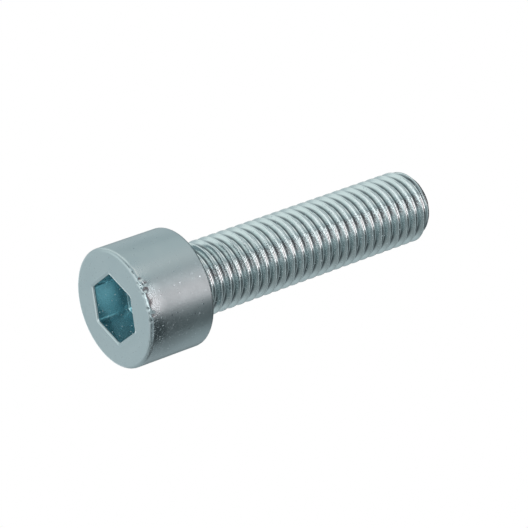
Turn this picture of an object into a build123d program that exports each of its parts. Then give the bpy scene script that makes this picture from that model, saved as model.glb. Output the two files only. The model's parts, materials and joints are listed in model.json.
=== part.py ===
from build123d import *
import os

# Hexagon socket head cap screw, M10 x 40, formed from one piece of wire and threaded up to the head.
# The origin is the centre of the bearing face under the head, and +Z runs along the shank to its end.
# The screw stands on its head, with the socket facing down and two of its flats facing +Y and -Y.

os.makedirs("parts", exist_ok=True)

# Head
head_diameter = 16.0
head_height = 10.0
head_edge_radius = 0.5
seat_edge_break = 0.3

# Hexagon socket in the head
socket_across_flats = 8.0
socket_depth = 5.0
socket_cone_depth = 0.9
socket_lead_in = 0.2

# Shank, at the outer diameter of its thread
thread_diameter = 10.0
length_under_head = 40.0
neck_fillet = 0.6
end_flat_diameter = 7.8
end_chamfer_length = 1.2


def screw_outline():
    # Half section from the head's end face, round the head and along the shank to the chamfered end
    head_radius = head_diameter / 2
    shank_radius = thread_diameter / 2
    with BuildLine(Plane.XZ) as outline:
        end_face = Line((0, -head_height), (head_radius - head_edge_radius, -head_height))
        round_edge = JernArc(end_face @ 1, (1, 0), head_edge_radius, 90)
        head_side = Line(round_edge @ 1, (head_radius, -seat_edge_break))
        seat_break = Line(head_side @ 1, (head_radius - seat_edge_break, 0))
        seat = Line(seat_break @ 1, (shank_radius + neck_fillet, 0))
        neck = JernArc(seat @ 1, (-1, 0), neck_fillet, -90)
        shank_side = Line(neck @ 1, (shank_radius, length_under_head - end_chamfer_length))
        chamfered = Line(shank_side @ 1, (end_flat_diameter / 2, length_under_head))
        Line(chamfered @ 1, (0, length_under_head))
        Line((0, length_under_head), (0, -head_height))
    return outline.line


def cap_screw():
    with BuildPart() as screw:
        with BuildSketch(Plane.XZ):
            add(make_face(screw_outline()))
        revolve(axis=Axis.Z)

        # Six flats, cut from the head's end face
        with BuildSketch(Plane.XY.offset(-head_height)):
            RegularPolygon(socket_across_flats / 2, 6, major_radius=False)
        extrude(amount=socket_depth, mode=Mode.SUBTRACT)

        # Cone left by the drill below the flats
        with Locations((0, 0, socket_depth - head_height)):
            Cone(
                socket_across_flats / 2,
                0,
                socket_cone_depth,
                align=(Align.CENTER, Align.CENTER, Align.MIN),
                mode=Mode.SUBTRACT,
            )

        # Lead-in for the key around the mouth
        end_face = screw.faces().filter_by(Plane.XY).sort_by(Axis.Z)[0]
        chamfer(end_face.inner_wires()[0].edges(), socket_lead_in)
    return screw.part


export_step(cap_screw(), "parts/cap_screw.step")
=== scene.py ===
import bmesh
import bpy
import json
from math import asin, cos, pi, radians, sin, sqrt
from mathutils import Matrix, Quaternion, Vector


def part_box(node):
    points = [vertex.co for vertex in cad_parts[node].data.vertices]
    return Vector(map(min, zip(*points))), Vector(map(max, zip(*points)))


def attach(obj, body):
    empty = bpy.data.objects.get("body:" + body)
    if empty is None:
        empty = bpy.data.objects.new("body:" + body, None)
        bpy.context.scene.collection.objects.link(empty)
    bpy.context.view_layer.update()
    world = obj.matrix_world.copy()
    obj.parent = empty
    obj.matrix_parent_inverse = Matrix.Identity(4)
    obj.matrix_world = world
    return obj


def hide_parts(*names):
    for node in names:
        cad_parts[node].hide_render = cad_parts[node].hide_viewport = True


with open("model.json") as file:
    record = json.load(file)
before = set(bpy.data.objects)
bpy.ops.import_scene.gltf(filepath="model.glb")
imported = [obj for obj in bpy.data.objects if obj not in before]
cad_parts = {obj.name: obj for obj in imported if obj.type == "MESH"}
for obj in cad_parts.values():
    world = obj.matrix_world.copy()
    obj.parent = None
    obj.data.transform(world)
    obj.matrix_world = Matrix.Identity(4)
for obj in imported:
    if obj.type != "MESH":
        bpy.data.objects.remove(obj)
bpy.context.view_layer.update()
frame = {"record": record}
screwLow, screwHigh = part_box("cap_screw")
threadMount = next(m for m in frame["record"]["mounts"] if m["name"] == "thread")
print("frame loaded, screw from", screwLow[:], "to", screwHigh[:])

# sizes that the frame gives, in metres
headRadius = screwHigh.x
headEnd = screwLow.z        # end face with the socket, the screw stands on it
shankEnd = screwHigh.z
threadRadius = threadMount["dims"]["r_mm"] / 1000


def skyDirection(azimuth, elevation):
    # degrees, azimuth 0 is -Y and 90 is +X
    turn, rise = radians(azimuth), radians(elevation)
    return Vector((sin(turn) * cos(rise), -cos(turn) * cos(rise), sin(rise)))


# small helpers for node trees

def addNode(tree, kind, inputs=None, **settings):
    node = tree.nodes.new(kind)
    for name, value in settings.items():
        setattr(node, name, value)
    for key, value in (inputs or {}).items():
        connect(tree, value, node.inputs[key])
    return node


def connect(tree, value, socket):
    if isinstance(value, bpy.types.NodeSocket):
        tree.links.new(value, socket)
    else:
        socket.default_value = value


def calc(tree, operation, *values):
    return addNode(tree, "ShaderNodeMath", dict(enumerate(values)), operation=operation).outputs[0]


def ramp(tree, value, low, high, first=0.0, last=1.0, curve="LINEAR"):
    # first where the value is at low, last where it is at high
    return addNode(tree, "ShaderNodeMapRange", {
        "Value": value, "From Min": low, "From Max": high, "To Min": first, "To Max": last},
        interpolation_type=curve).outputs[0]


def blend(tree, share, first, second, kind="FLOAT"):
    return addNode(tree, "ShaderNodeMix", {
        "Factor": share, "A": first, "B": second}, data_type=kind).outputs["Result"]


def setCurve(node, points):
    curve = node.mapping.curves[0]
    while len(curve.points) < len(points):
        curve.points.new(0.5, 0.5)
    for point, (x, y) in zip(curve.points, points):
        point.location = (x, y)
        point.handle_type = "VECTOR"
    node.mapping.update()


# head with its hexagon socket

headSizes = {
    "columns": 384,           # points round each ring, a multiple of 24
    "edgeRadius": 0.00050,    # rounding round the end face
    "seatBreak": 0.00030,     # bevel at the bearing face's outer edge
    "neckReach": 0.00085,     # fillet under the head, along the bearing face
    "neckHeight": 0.00070,    # and up the shank
    "neckRadius": 0.00476,    # shank where the thread runs out
}
socketSizes = {
    "acrossFlats": 0.0080,
    "depth": 0.0050,
    "coneDepth": 0.0009,
    "coneShare": 0.95,        # cone's rim as a share of the flats
    "leadIn": 0.00018,        # rounding at the mouth
    "bevelWidth": 0.00015,    # shallow bevel round it
    "bevelRise": 0.00005,
    "cornerRadius": 0.00052,
    "floorFillet": 0.00018,
    "reach": 0.65,            # share of the head's radius that holds the socket
}

# knocks on the head's edge: azimuth in degrees, place round the edge from end face 0 to side 1,
# radius and depth
edgeNicks = [
    (11, 0.6, 0.00045, 0.00006), (22, 0.9, 0.00036, 0.00010), (24.5, 0.2, 0.00030, 0.00012),
    (27, 1.3, 0.00044, 0.00012), (28.5, 0.5, 0.00034, 0.00015), (31, -0.1, 0.00032, 0.00009),
    (32.5, 0.9, 0.00046, 0.00014), (36, 0.3, 0.00034, 0.00012), (44, 0.7, 0.00060, 0.00006),
    (50, 0.3, 0.00036, 0.00008), (55, 0.9, 0.00055, 0.00008), (62, 0.4, 0.00040, 0.00006),
    (73, 0.8, 0.00060, 0.00006), (85, 0.4, 0.00038, 0.00005),
]


def hexRadius(angle, apothem, corner):
    # distance from the axis to a hexagon with rounded corners, one corner on +X
    off = (angle + pi / 6) % (pi / 3) - pi / 6
    centre = (apothem - corner) / cos(pi / 6)
    reach = sqrt(max(0.0, corner ** 2 - (centre * sin(off)) ** 2)) + centre * cos(off)
    tangent = asin(0.5 * corner / sqrt(centre ** 2 + corner ** 2 + 2 * centre * corner * cos(pi / 6)))
    return reach if abs(off) < tangent else apothem / cos(pi / 6 - abs(off))


def arcSteps(count):
    return [i / count * pi / 2 for i in range(count + 1)]


def headRings():
    # (flats' distance, circle's radius, share of circle, height), from the socket's floor to the neck,
    # with more rings near the edge that the nicks are in
    flats = socketSizes["acrossFlats"] / 2
    floor = headEnd + socketSizes["depth"]
    lead = socketSizes["leadIn"]
    mouth = headEnd + socketSizes["bevelRise"]
    bevel = flats + lead + socketSizes["bevelWidth"]
    fillet = socketSizes["floorFillet"]
    edge = headSizes["edgeRadius"]
    seatBreak = headSizes["seatBreak"]
    coneRim = flats * socketSizes["coneShare"]
    rings = []
    for share in (0.2, 0.5, 0.8, 0.97, 1.0):
        rings.append((flats, coneRim * share, 1.0, floor + socketSizes["coneDepth"] * (1 - share)))
    for a in arcSteps(4):
        rings.append((flats - fillet * (1 - sin(a)), 0, 0.0, floor - fillet * (1 - cos(a))))
    top, low = floor - fillet, mouth + lead
    for share in (0.04, 0.2, 0.4, 0.6, 0.8, 0.96):
        rings.append((flats, 0, 0.0, top + (low - top) * share))
    for a in arcSteps(5):
        rings.append((flats + lead * (1 - cos(a)), 0, 0.0, mouth + lead * (1 - sin(a))))
    for share in (0.15, 0.85, 1.0):
        out = flats + lead + socketSizes["bevelWidth"] * share
        rings.append((out, 0, 0.0, mouth + (headEnd - mouth) * share))
    rim = headRadius - edge
    for share in (0.02, 0.3, 0.6, 0.8, 0.89, 0.94, 0.98):
        rings.append((bevel, rim, share, headEnd))
    for a in arcSteps(10):
        rings.append((flats, rim + edge * sin(a), 1.0, headEnd + edge * (1 - cos(a))))
    top, low = -seatBreak, headEnd + edge
    for share in (0.015, 0.035, 0.06, 0.1, 0.3, 0.65, 0.99):
        rings.append((flats, headRadius, 1.0, low + (top - low) * share))
    for a in arcSteps(4):
        rings.append((flats, headRadius - seatBreak * (1 - cos(a)), 1.0, -seatBreak * (1 - sin(a))))
    for share in (1.2, 3.0):
        rings.append((flats, headRadius - seatBreak * share, 1.0, 0.0))
    return rings


def neckRings():
    # (columns, radius, height), from the bearing face round the fillet to the shank,
    # with ever fewer columns
    reach, height = headSizes["neckReach"], headSizes["neckHeight"]
    foot = headSizes["neckRadius"] + reach
    half, quarter = headSizes["columns"] // 2, headSizes["columns"] // 4
    rings = [(half, foot * 1.15, 0.0), (quarter, foot * 1.06, 0.0), (quarter, foot * 1.01, 0.0)]
    for a in arcSteps(7):
        rings.append((quarter, foot - reach * sin(a), height * (1 - cos(a))))
    return rings


def ringVerts(mesh, columns, radiusAt, height):
    verts = []
    for i in range(columns):
        angle = 2 * pi * i / columns
        radius = radiusAt(angle)
        verts.append(mesh.verts.new((radius * cos(angle), radius * sin(angle), height)))
    return verts


def joinRings(mesh, inner, outer):
    # quads between equal rings, or five-sided faces where the count halves
    step = len(inner) // len(outer)
    for i in range(len(outer)):
        k = (i + 1) % len(outer)
        near = [inner[(i * step + s) % len(inner)] for s in range(step + 1)]
        mesh.faces.new(near + [outer[k], outer[i]])


def knockEdge(mesh):
    edge = headSizes["edgeRadius"]
    centre = Vector((0, 0, headEnd + edge))
    for azimuth, share, radius, depth in edgeNicks:
        outward = skyDirection(azimuth, 0) * sin(share * pi / 2) - Vector((0, 0, cos(share * pi / 2)))
        middle = centre + skyDirection(azimuth, 0) * (headRadius - edge) + outward * edge
        for vert in mesh.verts:
            near = 1 - (vert.co - middle).length / radius
            if near > 0:
                vert.co -= outward * depth * near * near * (3 - 2 * near)


def makeHead():
    mesh = bmesh.new()
    columns = headSizes["columns"]
    corner = socketSizes["cornerRadius"]
    seatBreak = headSizes["seatBreak"]
    recess = mesh.verts.layers.float.new("recess")
    tip = mesh.verts.new((0, 0, headEnd + socketSizes["depth"] + socketSizes["coneDepth"]))
    tip[recess] = 1.0
    last = None
    mouth = headEnd + socketSizes["bevelRise"] + socketSizes["leadIn"]
    for flats, circle, roundShare, height in headRings():
        def radiusAt(angle):
            return roundShare * circle + (1 - roundShare) * hexRadius(angle, flats, corner)
        ring = ringVerts(mesh, columns, radiusAt, height)
        inside = radiusAt(0) < headRadius * socketSizes["reach"] and headEnd < height < -seatBreak
        for vert in ring:
            if inside:
                vert[recess] = 1.0 if height > mouth else 0.5   # socket's walls and floor, or its mouth
        if last is None:
            for i in range(columns):
                mesh.faces.new((tip, ring[(i + 1) % columns], ring[i]))
        else:
            joinRings(mesh, last, ring)
        last = ring
    for count, radius, height in neckRings():
        ring = ringVerts(mesh, count, lambda angle: radius, height)
        joinRings(mesh, last, ring)
        last = ring
    knockEdge(mesh)
    bmesh.ops.recalc_face_normals(mesh, faces=mesh.faces)
    data = bpy.data.meshes.new("headShell")
    mesh.to_mesh(data)
    mesh.free()
    return data


# rolled thread, a grid wound round the axis so that its rows follow the helix

threadSizes = {
    "Pitch": 0.0015,
    "Outer Radius": threadRadius - 0.00003,
    "Depth": 0.00076,
    "Neck Radius": headSizes["neckRadius"],
    "Neck Height": headSizes["neckHeight"],
    "Run Out": 0.0014,
    "End Height": shankEnd,
    "End Radius": 0.0039,
    "Chamfer Length": 0.0012,
    "Edge Softness": 0.00012,
    "Groove Height": 0.000063,   # a groove's bottom over +X, which sets where the thread starts
    "Crest Waver": 0.000012,     # unevenness of the rolled crests
    "Waver Size": 0.0009,
    "Merge Reach": 0.000001,     # joins the grid's sides, its folded rows and the neck
}
# half a pitch from a groove's bottom to the crest's middle: share of the way, and share of the depth
# cut away there; flanks 60 degrees apart, with rolled-round crests and flat roots
threadForm = [
    (0.0, 1.0), (0.17, 1.0), (0.215, 0.988), (0.26, 0.955), (0.305, 0.90), (0.535, 0.502), (0.765, 0.105),
    (0.797, 0.062), (0.838, 0.028), (0.885, 0.007), (0.915, 0.0012), (0.935, 0.0), (1.0, 0.0),
]
threadCounts = {"Columns": headSizes["columns"] // 4, "Rows Per Turn": 2 * (len(threadForm) - 1)}


def threadTree(finish):
    tree = bpy.data.node_groups.new("rolledThread", "GeometryNodeTree")
    tree.interface.new_socket("Geometry", in_out="INPUT", socket_type="NodeSocketGeometry")
    for name in threadSizes:
        tree.interface.new_socket(name, in_out="INPUT", socket_type="NodeSocketFloat")
    for name in threadCounts:
        tree.interface.new_socket(name, in_out="INPUT", socket_type="NodeSocketInt")
    tree.interface.new_socket("Geometry", in_out="OUTPUT", socket_type="NodeSocketGeometry")
    size = addNode(tree, "NodeGroupInput").outputs

    # rows reach a pitch below the neck and a pitch above the end, and fold up there
    span = calc(tree, "SUBTRACT", size["End Height"], size["Neck Height"])
    turns = calc(tree, "ADD", calc(tree, "CEIL", calc(tree, "DIVIDE", span, size["Pitch"])), 4.0)
    rows = calc(tree, "MULTIPLY", turns, size["Rows Per Turn"])
    grid = addNode(tree, "GeometryNodeMeshGrid", {
        "Size X": 1.0, "Size Y": 1.0,
        "Vertices X": calc(tree, "ADD", size["Columns"], 1.0),
        "Vertices Y": calc(tree, "ADD", rows, 1.0)})
    flat = addNode(tree, "GeometryNodeInputPosition").outputs[0]
    place = addNode(tree, "ShaderNodeSeparateXYZ", {0: flat}).outputs
    turn = calc(tree, "ADD", place["X"], 0.5)
    row = calc(tree, "ROUND", calc(tree, "MULTIPLY", calc(tree, "ADD", place["Y"], 0.5), rows))
    angle = calc(tree, "MULTIPLY", turn, 2 * pi)

    # thread form by the row's place in its turn, the same up to the crest and down again
    fullTurns = calc(tree, "DIVIDE", calc(tree, "ADD", row, 0.5), size["Rows Per Turn"])
    fullTurns = calc(tree, "FLOOR", fullTurns)
    part = calc(tree, "SUBTRACT", calc(tree, "DIVIDE", row, size["Rows Per Turn"]), fullTurns)
    half = calc(tree, "MULTIPLY", calc(tree, "PINGPONG", part, 0.5), 2.0)
    steps = len(threadForm) - 1
    way = addNode(tree, "ShaderNodeFloatCurve", {"Value": half})
    setCurve(way, [(i / steps, point[0]) for i, point in enumerate(threadForm)])
    form = addNode(tree, "ShaderNodeFloatCurve", {"Value": half})
    setCurve(form, [(i / steps, point[1]) for i, point in enumerate(threadForm)])
    rising = calc(tree, "MULTIPLY", way.outputs[0], 0.5)
    falling = calc(tree, "SUBTRACT", 1.0, rising)
    down = calc(tree, "GREATER_THAN", part, 0.5)
    phase = blend(tree, down, rising, falling)
    foot = calc(tree, "SUBTRACT", size["Neck Height"], size["Pitch"])
    foot = calc(tree, "SUBTRACT", foot, size["Groove Height"])
    foot = calc(tree, "FLOOR", calc(tree, "DIVIDE", foot, size["Pitch"]))
    pitches = calc(tree, "ADD", calc(tree, "ADD", calc(tree, "ADD", fullTurns, foot), phase), turn)
    height = calc(tree, "MULTIPLY_ADD", pitches, size["Pitch"], size["Groove Height"])
    level = calc(tree, "MINIMUM", calc(tree, "MAXIMUM", height, size["Neck Height"]), size["End Height"])
    full = calc(tree, "ADD", size["Neck Height"], size["Run Out"])
    rise = ramp(tree, level, size["Neck Height"], full, 0.0, 1.0, "SMOOTHSTEP")
    cut = calc(tree, "MULTIPLY", form.outputs[0], rise)
    swell = calc(tree, "SUBTRACT", size["Outer Radius"], size["Neck Radius"])
    crest = calc(tree, "MULTIPLY_ADD", swell, rise, size["Neck Radius"])
    radius = calc(tree, "SUBTRACT", crest, calc(tree, "MULTIPLY", cut, size["Depth"]))

    # the crests waver a little, the grooves stay clean
    across, along = calc(tree, "COSINE", angle), calc(tree, "SINE", angle)
    ideal = addNode(tree, "ShaderNodeCombineXYZ", {
        "X": calc(tree, "MULTIPLY", across, size["Outer Radius"]),
        "Y": calc(tree, "MULTIPLY", along, size["Outer Radius"]), "Z": level})
    waver = addNode(tree, "ShaderNodeTexNoise", {
        "Vector": ideal.outputs[0], "Scale": calc(tree, "DIVIDE", 1.0, size["Waver Size"]), "Detail": 2.0})
    proud = calc(tree, "SUBTRACT", 1.0, form.outputs[0])
    lost = calc(tree, "MULTIPLY", calc(tree, "MULTIPLY", waver.outputs[0], proud), size["Crest Waver"])
    radius = calc(tree, "SUBTRACT", radius, calc(tree, "MULTIPLY", lost, rise))

    # chamfered end, closed by rows that draw in to the axis
    slope = calc(tree, "SUBTRACT", size["Outer Radius"], size["End Radius"])
    slope = calc(tree, "DIVIDE", slope, size["Chamfer Length"])
    below = calc(tree, "SUBTRACT", size["End Height"], level)
    cone = calc(tree, "MULTIPLY_ADD", below, slope, size["End Radius"])
    radius = calc(tree, "SMOOTH_MIN", radius, cone, size["Edge Softness"])
    past = calc(tree, "DIVIDE", calc(tree, "SUBTRACT", height, size["End Height"]), size["Pitch"])
    past = calc(tree, "MINIMUM", calc(tree, "MAXIMUM", past, 0.0), 1.0)
    radius = calc(tree, "MULTIPLY", radius, calc(tree, "SUBTRACT", 1.0, past))
    spot = addNode(tree, "ShaderNodeCombineXYZ", {
        "X": calc(tree, "MULTIPLY", radius, across),
        "Y": calc(tree, "MULTIPLY", radius, along),
        "Z": level})

    wound = addNode(tree, "GeometryNodeStoreNamedAttribute", {
        "Geometry": grid.outputs["Mesh"], "Name": "groove",
        "Value": calc(tree, "MULTIPLY", cut, calc(tree, "LESS_THAN", height, size["End Height"]))},
        data_type="FLOAT", domain="POINT")
    wound = addNode(tree, "GeometryNodeSetPosition", {
        "Geometry": wound.outputs[0], "Position": spot.outputs[0]})
    whole = addNode(tree, "GeometryNodeJoinGeometry", {0: wound.outputs[0]})
    tree.links.new(size["Geometry"], whole.inputs[0])
    whole = addNode(tree, "GeometryNodeMergeByDistance", {
        "Geometry": whole.outputs[0], "Distance": size["Merge Reach"]})
    whole = addNode(tree, "GeometryNodeSetShadeSmooth", {"Geometry": whole.outputs[0]})
    whole = addNode(tree, "GeometryNodeRealizeInstances", {"Geometry": whole.outputs[0]})
    whole = addNode(tree, "GeometryNodeSetMaterial", {"Geometry": whole.outputs[0], "Material": finish})
    addNode(tree, "NodeGroupOutput", {"Geometry": whole.outputs[0]})
    return tree


def makeScrew(finish):
    blank = bpy.data.objects.new("screwBlank", makeHead())
    bpy.context.scene.collection.objects.link(blank)
    modifier = blank.modifiers.new("thread", "NODES")
    modifier.node_group = threadTree(finish)
    for item in modifier.node_group.interface.items_tree:
        if item.in_out == "INPUT" and item.name in threadSizes:
            modifier[item.identifier] = threadSizes[item.name]
        if item.in_out == "INPUT" and item.name in threadCounts:
            modifier[item.identifier] = threadCounts[item.name]
    bpy.context.view_layer.update()
    evaluated = blank.evaluated_get(bpy.context.evaluated_depsgraph_get())
    data = bpy.data.meshes.new_from_object(evaluated)
    bpy.data.objects.remove(blank)

    shell = bmesh.new()
    shell.from_mesh(data)
    bmesh.ops.recalc_face_normals(shell, faces=shell.faces)
    openEdges = sum(1 for e in shell.edges if not e.is_manifold)
    triangles = sum(len(f.verts) - 2 for f in shell.faces)
    shell.to_mesh(data)
    shell.free()
    data.name = "threaded_cap_screw"
    screw = bpy.data.objects.new("threaded_cap_screw", data)
    bpy.context.scene.collection.objects.link(screw)
    print("screw made,", triangles, "triangles,", openEdges, "open edges")
    return screw


# bright zinc plating with a blue cast

zincLook = {
    "colour": (0.53, 0.635, 0.66, 1.0),
    "paleColour": (0.57, 0.67, 0.69, 1.0),
    "threadColour": (0.70, 0.80, 0.81, 1.0),
    # painted shade down in the thread's grooves; the dark patch by the head's edge is mixed with it too
    "grooveShadeColour": (0.18, 0.21, 0.225, 1.0),
    "socketColour": (0.47, 0.68, 0.725, 1.0),
    "cloudSize": 0.0022,
    "cloudRange": (0.3, 0.7),
    "headRoughness": (0.33, 0.40),
    "crestRoughness": (0.055, 0.10),
    "flankRoughness": 0.20,
    "socketRoughness": 0.22,
    "grainSize": 0.00016,
    "grainHeight": 0.000003,
    "flankGrain": 3.0,            # grain on the thread's flanks, times the grain elsewhere
    "flankDepth": (0.005, 0.08),  # shares of the thread's depth where flanks begin and are full
    # shares of the thread's depth where the painted groove shade begins and is full
    "grooveShadeDepth": (0.52, 0.80),
    "rootDepth": (0.94, 0.99),
    "speckSpacing": 0.00045,      # small smooth spots in the plating, some metal and some pale, the pale ones painted glints
    "speckShare": (0.12, 0.30),   # a spot's radius as a share of the spacing
    "speckGaps": 0.4,             # share of the places left without a spot
    "speckMetal": 0.35,           # share of the spots that stay metal
    "speckRoughness": 0.09,
    # colour of the painted glints and sparkle flecks
    "speckColour": (0.60, 0.71, 0.74, 1.0),
}
# wear on one side, which also takes painted sparkle flecks and lighter painted groove shade; ranges say
# how far towards that side it begins and is full, as shares of the radius
zincWearAndPaintedLight = {
    "side": 55,                   # azimuth
    "threadRange": (0.60, 0.85),
    "threadGrain": 4.5,           # added to the grain there
    "threadRoughness": 0.06,
    "shadeFadeRange": (0.70, 0.92),   # the painted groove shade fades towards that side
    "shadeKeptShare": 0.3,            # share of the painted groove shade kept there
    "headRange": (0.45, 0.80),
    "edgeReach": 0.0030,          # up the head's side
    "edgeGrain": 6.0,             # times the grain elsewhere
    "edgeRoughness": 0.17,
    "patchSide": 85,              # azimuth
    "patchRange": (0.78, 0.95),
    "patchReach": 0.0075,
    "patchDarkness": 0.55,           # share of the painted groove-shade colour mixed in
    "fleckRange": (0.60, 0.66),   # grain noise where the pale flecks of painted sparkle begin and are full
    "threadFlecks": 0.6,          # how strongly they show on the thread
}


def towards(tree, spot, azimuth, radius, shares, first=0.0, last=1.0):
    # how far a place lies towards an azimuth, between two shares of the radius
    far = addNode(tree, "ShaderNodeVectorMath", {
        0: spot, 1: skyDirection(azimuth, 0)}, operation="DOT_PRODUCT").outputs["Value"]
    return ramp(tree, far, radius * shares[0], radius * shares[1], first, last)


def zincPlate():
    material = bpy.data.materials.new("zinc_plate")
    material.use_nodes = True
    tree = material.node_tree
    shader = tree.nodes["Principled BSDF"]
    spot = addNode(tree, "ShaderNodeTexCoord").outputs["Object"]
    cloud = addNode(tree, "ShaderNodeTexNoise", {
        "Vector": spot, "Scale": 1 / zincLook["cloudSize"], "Detail": 4.0, "Roughness": 0.6}).outputs[0]
    grain = addNode(tree, "ShaderNodeTexNoise", {
        "Vector": spot, "Scale": 1 / zincLook["grainSize"], "Detail": 2.0, "Roughness": 0.5}).outputs[0]
    groove = addNode(tree, "ShaderNodeAttribute", attribute_name="groove").outputs["Fac"]
    recess = addNode(tree, "ShaderNodeAttribute", attribute_name="recess").outputs["Fac"]

    # where on the screw
    height = addNode(tree, "ShaderNodeSeparateXYZ", {0: spot}).outputs["Z"]
    onShank = calc(tree, "GREATER_THAN", height, 0.0)
    mouth = ramp(tree, recess, 0.0, 0.5)
    inside = ramp(tree, recess, 0.5, 1.0)
    root = ramp(tree, groove, *zincLook["rootDepth"])
    # painted shade deep in the grooves, not on their roots
    grooveShade = calc(tree, "SUBTRACT", ramp(tree, groove, *zincLook["grooveShadeDepth"]), root)
    flank = calc(tree, "SUBTRACT", ramp(tree, groove, *zincLook["flankDepth"]), root)

    # worn side, on the thread and by the head's edge; on the thread it also takes painted sparkle
    side = zincWearAndPaintedLight["side"]
    rubbedAndSparkle = towards(tree, spot, side, threadRadius, zincWearAndPaintedLight["threadRange"])
    rubbedAndSparkle = calc(tree, "MULTIPLY", rubbedAndSparkle, onShank)
    rubbedAndSparkle = calc(tree, "MULTIPLY", rubbedAndSparkle, calc(tree, "SUBTRACT", 1.0, root))
    # less painted groove shade towards the worn side
    shadeKept = towards(tree, spot, side, threadRadius, zincWearAndPaintedLight["shadeFadeRange"], 1.0, zincWearAndPaintedLight["shadeKeptShare"])
    edgeTop = headEnd + headSizes["edgeRadius"]
    offFace = calc(tree, "GREATER_THAN", height, headEnd + headSizes["edgeRadius"] / 4)
    worn = calc(tree, "MULTIPLY", towards(tree, spot, side, headRadius, zincWearAndPaintedLight["headRange"]), offFace)
    atEdge = ramp(tree, height, edgeTop, headEnd + zincWearAndPaintedLight["edgeReach"], 1.0, 0.0)
    atEdge = calc(tree, "MULTIPLY", worn, atEdge)
    # a darker, pale-flecked patch on the head's side near its edge
    darkPatch = towards(tree, spot, zincWearAndPaintedLight["patchSide"], headRadius, zincWearAndPaintedLight["patchRange"])
    nearEdge = ramp(tree, height, edgeTop, headEnd + zincWearAndPaintedLight["patchReach"], 1.0, 0.0)
    darkPatch = calc(tree, "MULTIPLY", calc(tree, "MULTIPLY", darkPatch, nearEdge), worn)

    # small spots of many sizes, the pale ones painted glints, and finer pale flecks of painted sparkle on
    # the thread's flanks on its worn side and in the dark patch by the head's edge
    cells = addNode(tree, "ShaderNodeTexVoronoi", {"Vector": spot, "Scale": 1 / zincLook["speckSpacing"]})
    chance = addNode(tree, "ShaderNodeSeparateColor", {0: cells.outputs["Color"]}).outputs
    wide = ramp(tree, chance[1], 0.0, 1.0, *zincLook["speckShare"])
    out = calc(tree, "DIVIDE", cells.outputs["Distance"], wide)
    speck = ramp(tree, out, 0.5, 1.0, 1.0, 0.0, "SMOOTHSTEP")
    speck = calc(tree, "MULTIPLY", speck, calc(tree, "GREATER_THAN", chance[0], zincLook["speckGaps"]))
    pale = calc(tree, "MULTIPLY", speck, calc(tree, "GREATER_THAN", chance[2], zincLook["speckMetal"]))
    fleck = ramp(tree, grain, *zincWearAndPaintedLight["fleckRange"])
    flecked = calc(tree, "MULTIPLY", calc(tree, "MULTIPLY", rubbedAndSparkle, flank), zincWearAndPaintedLight["threadFlecks"])
    flecked = calc(tree, "MAXIMUM", flecked, darkPatch)
    pale = calc(tree, "MAXIMUM", pale, calc(tree, "MULTIPLY", fleck, flecked))

    # colour, paler on the thread, with painted shade down in its grooves, darker in the patch by the
    # head's edge, and bluer in the socket
    shade = calc(tree, "MULTIPLY", darkPatch, zincWearAndPaintedLight["patchDarkness"])
    colour = blend(tree, cloud, zincLook["colour"], zincLook["paleColour"], "RGBA")
    colour = blend(tree, shade, colour, zincLook["grooveShadeColour"], "RGBA")
    colour = blend(tree, onShank, colour, zincLook["threadColour"], "RGBA")
    colour = blend(tree, calc(tree, "MULTIPLY", grooveShade, shadeKept), colour, zincLook["grooveShadeColour"], "RGBA")
    colour = blend(tree, inside, colour, zincLook["socketColour"], "RGBA")
    # painted glints and sparkle: pale spots and flecks that are not metal
    colour = blend(tree, pale, colour, zincLook["speckColour"], "RGBA")
    connect(tree, colour, shader.inputs["Base Color"])
    connect(tree, calc(tree, "SUBTRACT", 1.0, pale), shader.inputs["Metallic"])

    # fine grain, coarser where worn
    headGrain = calc(tree, "MULTIPLY_ADD", atEdge, zincWearAndPaintedLight["edgeGrain"] - 1, 1.0)
    threadGrain = calc(tree, "MULTIPLY_ADD", flank, zincLook["flankGrain"] - 1, 1.0)
    threadGrain = calc(tree, "MULTIPLY_ADD", rubbedAndSparkle, zincWearAndPaintedLight["threadGrain"], threadGrain)
    relief = calc(tree, "MULTIPLY", grain, blend(tree, onShank, headGrain, threadGrain))
    relief = calc(tree, "MULTIPLY", relief, calc(tree, "SUBTRACT", 1.0, speck))
    bump = addNode(tree, "ShaderNodeBump", {
        "Height": relief, "Distance": zincLook["grainHeight"], "Strength": 1.0})
    connect(tree, bump.outputs[0], shader.inputs["Normal"])

    # the head is duller than the thread, whose crests and roots are smoothest
    dull = ramp(tree, cloud, *zincLook["cloudRange"], *zincLook["headRoughness"])
    dull = blend(tree, atEdge, dull, zincWearAndPaintedLight["edgeRoughness"])
    rolled = ramp(tree, cloud, *zincLook["cloudRange"], *zincLook["crestRoughness"])
    rolled = blend(tree, flank, rolled, zincLook["flankRoughness"])
    rolled = blend(tree, rubbedAndSparkle, rolled, zincWearAndPaintedLight["threadRoughness"])
    rough = blend(tree, onShank, dull, rolled)
    rough = blend(tree, mouth, rough, zincLook["socketRoughness"])
    rough = blend(tree, speck, rough, zincLook["speckRoughness"])
    connect(tree, rough, shader.inputs["Roughness"])
    return material


screw = makeScrew(zincPlate())
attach(screw, "root")
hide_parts("cap_screw")
print("screw plated and set in the frame")


# floor, seen from above only, because the photo looks at the head from below this level

floorLook = {
    "size": 4.0,
    "colour": (0.9, 0.9, 0.9, 1.0),
    "lift": 0.60,             # light added to the paper
    "shadowReach": 0.03,
    "shadowDepth": 2.0,       # higher is darker
    "whiteRange": (0.05, 0.30),
}


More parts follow.
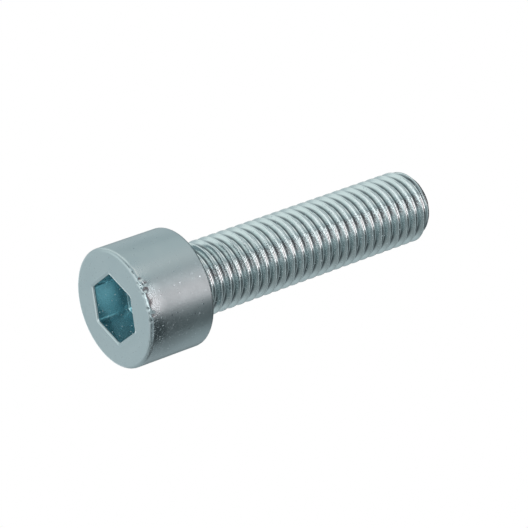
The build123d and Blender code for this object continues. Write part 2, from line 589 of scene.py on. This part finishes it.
def makeFloor():
    mesh = bmesh.new()
    bmesh.ops.create_grid(mesh, size=floorLook["size"] / 2)
    bmesh.ops.translate(mesh, verts=mesh.verts, vec=(0, 0, headEnd))
    data = bpy.data.meshes.new("floor")
    mesh.to_mesh(data)
    mesh.free()
    material = bpy.data.materials.new("floor_paper")
    material.use_nodes = True
    tree = material.node_tree
    tree.nodes.clear()
    paper = addNode(tree, "ShaderNodeBsdfDiffuse", {"Color": floorLook["colour"]})
    # the lift fades near the screw, so that its shadow stays
    nearby = addNode(tree, "ShaderNodeAmbientOcclusion", {
        "Distance": floorLook["shadowReach"]}, samples=32)
    clear = calc(tree, "POWER", nearby.outputs["AO"], floorLook["shadowDepth"])
    lift = calc(tree, "MULTIPLY", clear, floorLook["lift"])
    glow = addNode(tree, "ShaderNodeEmission", {"Strength": lift})
    lifted = addNode(tree, "ShaderNodeAddShader", {0: paper.outputs[0], 1: glow.outputs[0]})
    # white further out, so no edge shows against the backdrop
    spot = addNode(tree, "ShaderNodeTexCoord").outputs["Object"]
    reach = addNode(tree, "ShaderNodeVectorMath", {0: spot}, operation="LENGTH").outputs["Value"]
    far = ramp(tree, reach, *floorLook["whiteRange"], 0.0, 1.0, "SMOOTHSTEP")
    white = addNode(tree, "ShaderNodeEmission", {"Strength": 1.0})
    top = addNode(tree, "ShaderNodeMixShader", {0: far, 1: lifted.outputs[0], 2: white.outputs[0]})
    under = addNode(tree, "ShaderNodeNewGeometry").outputs["Backfacing"]
    side = addNode(tree, "ShaderNodeMixShader", {
        0: under, 1: top.outputs[0], 2: addNode(tree, "ShaderNodeBsdfTransparent").outputs[0]})
    addNode(tree, "ShaderNodeOutputMaterial", {"Surface": side.outputs[0]})
    data.materials.append(material)
    floor = bpy.data.objects.new("floor", data)
    bpy.context.scene.collection.objects.link(floor)
    floor.visible_diffuse = False
    floor.visible_glossy = False
    floor.visible_transmission = False
    floor.visible_shadow = False


makeFloor()
print("floor laid")


# camera at the photo's place

photoView = {
    "position": (0.20861, -0.25476, -0.21002),
    "aim": (0.00772, -0.00786, 0.00658),
    "roll": 70.32,
    "lens": 207.13,
}


def makeCamera():
    data = bpy.data.cameras.new("photoCamera")
    data.lens = photoView["lens"]
    data.sensor_width = 36
    data.clip_start = 0.01
    data.clip_end = 20
    camera = bpy.data.objects.new("photoCamera", data)
    bpy.context.scene.collection.objects.link(camera)
    camera.location = photoView["position"]
    look = Vector(photoView["aim"]) - camera.location
    camera.rotation_mode = "QUATERNION"
    roll = Quaternion((0, 0, 1), radians(photoView["roll"]))
    camera.rotation_quaternion = look.to_track_quat("-Z", "Y") @ roll
    bpy.context.scene.camera = camera


makeCamera()
print("camera set")


# studio, pale all round with brighter and darker panels, and one long strip lamp

studioLook = {
    "colour": (0.53, 0.585, 0.60, 1.0),
    # azimuth, elevation, full within, gone beyond, colour; angles in degrees
    "patches": [
        (175, 25, 25, 55, (0.40, 0.445, 0.46, 1.0)),
        (0, 90, 32, 50, (0.05, 0.055, 0.055, 1.0)),     # overhead
        (190, 58, 12, 20, (0.03, 0.033, 0.035, 1.0)),
        (-110, 58, 12, 20, (0.03, 0.033, 0.035, 1.0)),
        (219, 36, 10, 24, (0.12, 0.13, 0.135, 1.0)),    # behind
        (203, 42, 8, 16, (0.05, 0.055, 0.058, 1.0)),
        (-65, 48, 10, 26, (0.34, 0.40, 0.42, 1.0)),
        (-80, 2, 10, 22, (0.95, 0.98, 0.95, 1.0)),      # soft boxes
        (-45, 8, 10, 24, (1.10, 1.10, 1.06, 1.0)),
        (-10, 18, 8, 18, (1.00, 0.94, 0.91, 1.0)),
        (219, 4, 8, 22, (1.4, 1.4, 1.4, 1.0)),          # pale backdrop
        (39, 12, 16, 30, (0.22, 0.17, 0.175, 1.0)),
        (57, 38, 9, 24, (0.56, 0.43, 0.43, 1.0)),       # warm panel
        (16, 34, 2, 10, (0.38, 0.40, 0.41, 1.0)),       # its edges
        (107, 34, 14, 32, (0.085, 0.10, 0.104, 1.0)),
        (107, 62, 8, 26, (0.06, 0.06, 0.065, 1.0)),
        (140, 6, 16, 30, (0.22, 0.24, 0.245, 1.0)),
        (150, -52, 8, 40, (0.25, 0.275, 0.28, 1.0)),    # below
        (-36, -42, 10, 18, (0.12, 0.13, 0.14, 1.0)),
        (-85, -50, 14, 30, (0.85, 0.90, 0.89, 1.0)),
        (98, -46, 12, 28, (0.15, 0.17, 0.18, 1.0)),
        (219, -66, 8, 19, (1.0, 1.0, 1.0, 1.0)),
        (-20, -64, 12, 22, (1.1, 1.1, 1.1, 1.0)),
        (48, -42, 10, 22, (1.6, 1.6, 1.6, 1.0)),
        (30, -60, 10, 22, (1.6, 1.6, 1.6, 1.0)),
    ],
    "lamp": (46, 36, 0.55),                             # azimuth, elevation, distance
    "lampSize": (0.45, 0.07),
    "lampPower": 0.18,
    "lampColour": (1.0, 0.95, 0.95),
}


def makeStudio():
    world = bpy.data.worlds.new("studio")
    bpy.context.scene.world = world
    world.use_nodes = True
    tree = world.node_tree
    tree.nodes.clear()
    direction = addNode(tree, "ShaderNodeTexCoord").outputs["Generated"]
    colour = studioLook["colour"]
    for azimuth, elevation, core, reach, shade in studioLook["patches"]:
        near = addNode(tree, "ShaderNodeVectorMath", {
            0: direction, 1: skyDirection(azimuth, elevation)}, operation="DOT_PRODUCT")
        low, high = cos(radians(reach)), cos(radians(core))
        share = ramp(tree, near.outputs["Value"], low, high, 0.0, 1.0, "SMOOTHSTEP")
        colour = blend(tree, share, colour, shade, "RGBA")
    # the camera sees plain white, everything else the panels
    lit = addNode(tree, "ShaderNodeBackground", {"Color": colour})
    white = addNode(tree, "ShaderNodeBackground", {"Color": (1, 1, 1, 1)})
    seen = addNode(tree, "ShaderNodeLightPath").outputs["Is Camera Ray"]
    both = addNode(tree, "ShaderNodeMixShader", {0: seen, 1: lit.outputs[0], 2: white.outputs[0]})
    addNode(tree, "ShaderNodeOutputWorld", {"Surface": both.outputs[0]})

    light = bpy.data.lights.new("lamp", "AREA")
    light.shape = "RECTANGLE"
    light.size, light.size_y = studioLook["lampSize"]
    light.energy = studioLook["lampPower"]
    light.color = studioLook["lampColour"]
    lamp = bpy.data.objects.new("lamp", light)
    bpy.context.scene.collection.objects.link(lamp)
    azimuth, elevation, distance = studioLook["lamp"]
    lamp.location = skyDirection(azimuth, elevation) * distance
    lamp.rotation_mode = "QUATERNION"
    lamp.rotation_quaternion = (-lamp.location).to_track_quat("-Z", "Y")


makeStudio()
bpy.context.scene.view_settings.view_transform = "Standard"
print("studio lit,", len(studioLook["patches"]), "panels and one lamp")

print("scene ready")
